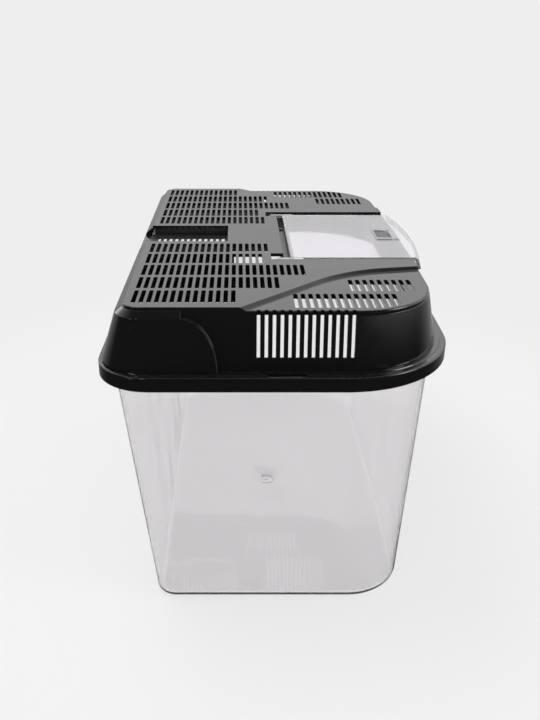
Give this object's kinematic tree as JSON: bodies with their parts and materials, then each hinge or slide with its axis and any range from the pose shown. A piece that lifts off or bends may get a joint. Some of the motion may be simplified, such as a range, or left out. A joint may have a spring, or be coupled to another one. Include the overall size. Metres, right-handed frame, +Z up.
{
  "type": "plastic pet keeper",
  "caption": "Tapered clear tub with a black slotted lid that snaps over its rim and a clear hinged hatch, for keeping small animals.",
  "frame": {"origin": "middle of the underside, on the surface the keeper stands on", "axes": "+X along the keeper, +Y to its straight back, -Y to its bowed front with the hatch's lip, +Z up"},
  "size_m": [0.37, 0.235, 0.231],
  "materials": {
    "clear_tub": "clear moulded polystyrene",
    "clear_hatch": "clear moulded polystyrene",
    "black_gloss": "glossy moulded black"
  },
  "bodies": {
    "tub": {"tub": "clear_tub", "tub_rim": "clear_tub"},
    "lid": {"lid_walls": "black_gloss", "lid_wall_middle": "black_gloss", "lid_flange": "black_gloss", "lid_skirt_corners": "black_gloss", "lid_skirt_sides": "black_gloss", "lid_deck_left": "black_gloss", "lid_deck_right": "black_gloss", "lid_wing_left": "black_gloss", "lid_wing_right": "black_gloss", "recess_tray": "black_gloss", "hatch_frame": "black_gloss", "hinge_trough": "black_gloss"},
    "catch": {"hatch_catch": "black_gloss"},
    "hatch": {"hatch_panel": "clear_hatch", "hatch_window": "clear_hatch", "hatch_lip": "clear_hatch", "hatch_pin_left": "clear_hatch", "hatch_pin_right": "clear_hatch"}
  },
  "joints": [
    {"name": "lid_lift", "type": "slide", "parent": "tub", "child": "lid", "axis": [0, 0, 1], "range_m": [0, 0.06]},
    {"name": "hatch_hinge", "type": "hinge", "parent": "lid", "child": "hatch", "pos_m": [0, -0.00165, 0.2268], "axis": [-1, 0, 0], "range_deg": [0, 105]},
    {"name": "catch_press", "type": "hinge", "parent": "lid", "child": "catch", "pos_m": [0, -0.09425, 0.2249], "axis": [-1, 0, 0], "range_deg": [0, 6], "stiffness_Nm_per_rad": 0.5}
  ]
}
